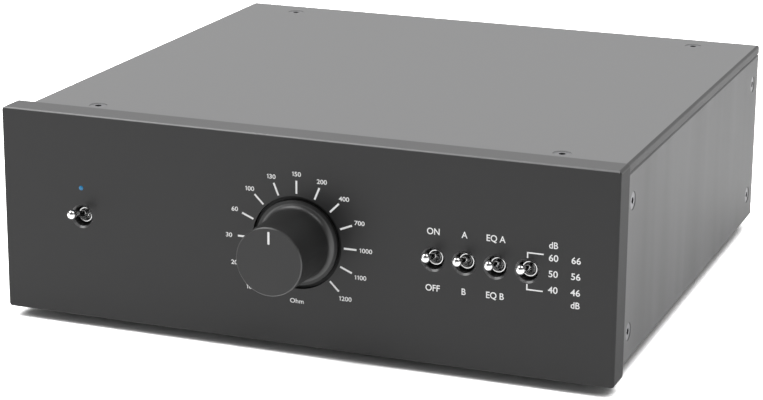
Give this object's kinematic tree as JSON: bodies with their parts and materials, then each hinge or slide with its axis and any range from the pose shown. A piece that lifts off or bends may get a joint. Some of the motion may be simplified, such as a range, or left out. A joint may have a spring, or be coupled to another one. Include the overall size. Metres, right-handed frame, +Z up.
{
  "type": "phono preamp",
  "caption": "Compact phono preamplifier in a flat metal case with a loading dial, ball-tipped toggle switches, phono and balanced sockets, a ground post and a low-voltage supply socket.",
  "frame": {"origin": "bottom centre of the part's bounding box, on the surface that the feet stand on", "axes": "+Z up, +Y towards the rear sockets, so the front panel faces -Y, and +X to the right of someone facing the front"},
  "size_m": [0.206, 0.228, 0.071],
  "materials": {
    "dark_anodised": "fine-blasted black anodised aluminium, satin",
    "case_anodised": "fine-blasted dark grey anodised aluminium, satin",
    "bare_aluminium": "machined aluminium",
    "black_rubber": "matt moulded rubber",
    "screw_steel": "plated steel",
    "switch_chrome": "bright chrome plate",
    "nickel_plate": "satin nickel plate",
    "blue_lens": "clear blue lens, lit",
    "circuit_board": "green solder mask",
    "black_plastic": "matt black moulding",
    "black_metal": "black die-cast shell",
    "gold_plate": "gold-plated brass"
  },
  "bodies": {
    "case": {"amplifier_chips": "black_plastic", "balanced_in_left": "black_metal", "balanced_in_right": "black_metal", "balanced_out_left": "black_metal", "balanced_out_right": "black_metal", "base_plate": "case_anodised", "base_screws": "screw_steel", "board_screws": "screw_steel", "board_standoffs": "nickel_plate", "control_board": "circuit_board", "cover_screws": "screw_steel", "curve_switch_body": "switch_chrome", "dc_socket": "black_plastic", "filter_capacitors": "black_plastic", "foot_screws": "screw_steel", "front_left_foot": "black_rubber", "front_lower_rail": "bare_aluminium", "front_panel": "dark_anodised", "front_right_foot": "black_rubber", "front_upper_rail": "bare_aluminium", "gain_switch_body": "switch_chrome", "ground_post": "gold_plate", "input_switch_body": "switch_chrome", "left_side_panel": "case_anodised", "main_board": "circuit_board", "mute_switch_body": "switch_chrome", "panel_screws": "screw_steel", "phono_in_left": "gold_plate", "phono_in_right": "gold_plate", "phono_out_left": "gold_plate", "phono_out_right": "gold_plate", "potentiometer_body": "nickel_plate", "potentiometer_nut": "nickel_plate", "power_led": "blue_lens", "power_switch_body": "switch_chrome", "rear_left_foot": "black_rubber", "rear_lower_rail": "bare_aluminium", "rear_panel": "case_anodised", "rear_right_foot": "black_rubber", "rear_screws": "screw_steel", "rear_upper_rail": "bare_aluminium", "relays": "black_plastic", "right_side_panel": "case_anodised", "side_screws": "screw_steel", "socket_screws": "screw_steel", "sub_panel": "bare_aluminium", "switch_nuts": "nickel_plate", "top_cover": "case_anodised"},
    "knob": {"loading_knob": "dark_anodised", "knob_grub_screw": "screw_steel", "potentiometer_shaft": "bare_aluminium"},
    "power_switch_lever": {"power_switch_lever": "switch_chrome"},
    "mute_switch_lever": {"mute_switch_lever": "switch_chrome"},
    "input_switch_lever": {"input_switch_lever": "switch_chrome"},
    "curve_switch_lever": {"curve_switch_lever": "switch_chrome"},
    "gain_switch_lever": {"gain_switch_lever": "switch_chrome"},
    "balanced_in_left_tab": {"balanced_in_left_tab": "nickel_plate"},
    "balanced_in_right_tab": {"balanced_in_right_tab": "nickel_plate"},
    "ground_washer": {"ground_washer": "gold_plate"},
    "ground_nut": {"ground_nut": "gold_plate"}
  },
  "joints": [
    {"name": "knob_turn", "type": "hinge", "parent": "case", "child": "knob", "pos_m": [0, -0.0925, 0.03725], "axis": [0, 1, 0], "range_deg": [-135, 135]},
    {"name": "power_switch_throw", "type": "hinge", "parent": "case", "child": "power_switch_lever", "pos_m": [-0.075, -0.0881, 0.03725], "axis": [1, 0, 0], "range_deg": [0, 25]},
    {"name": "mute_switch_throw", "type": "hinge", "parent": "case", "child": "mute_switch_lever", "pos_m": [0.045, -0.0881, 0.03725], "axis": [1, 0, 0], "range_deg": [0, 25]},
    {"name": "input_switch_throw", "type": "hinge", "parent": "case", "child": "input_switch_lever", "pos_m": [0.055, -0.0881, 0.03725], "axis": [1, 0, 0], "range_deg": [0, 25]},
    {"name": "curve_switch_throw", "type": "hinge", "parent": "case", "child": "curve_switch_lever", "pos_m": [0.065, -0.0881, 0.03725], "axis": [1, 0, 0], "range_deg": [0, 25]},
    {"name": "gain_switch_throw", "type": "hinge", "parent": "case", "child": "gain_switch_lever", "pos_m": [0.075, -0.0881, 0.03725], "axis": [1, 0, 0], "range_deg": [0, 25]},
    {"name": "balanced_in_left_tab_push", "type": "slide", "parent": "case", "child": "balanced_in_left_tab", "axis": [0, -1, 0], "range_m": [0, 0.0012], "stiffness_N_per_m": 600},
    {"name": "balanced_in_right_tab_push", "type": "slide", "parent": "case", "child": "balanced_in_right_tab", "axis": [0, -1, 0], "range_m": [0, 0.0012], "stiffness_N_per_m": 600},
    {"name": "ground_washer_lift", "type": "slide", "parent": "case", "child": "ground_washer", "axis": [0, 1, 0], "range_m": [0, 0.0028]},
    {"name": "ground_nut_turn", "type": "hinge", "parent": "ground_washer", "child": "ground_nut", "pos_m": [0.009, 0.1045, 0.0465], "axis": [0, 1, 0], "range_deg": [0, 1440]}
  ],
  "couplings": [
    {"joint": "ground_nut_turn", "follows": "ground_washer_lift", "rad_per_m": 8975.9}
  ]
}
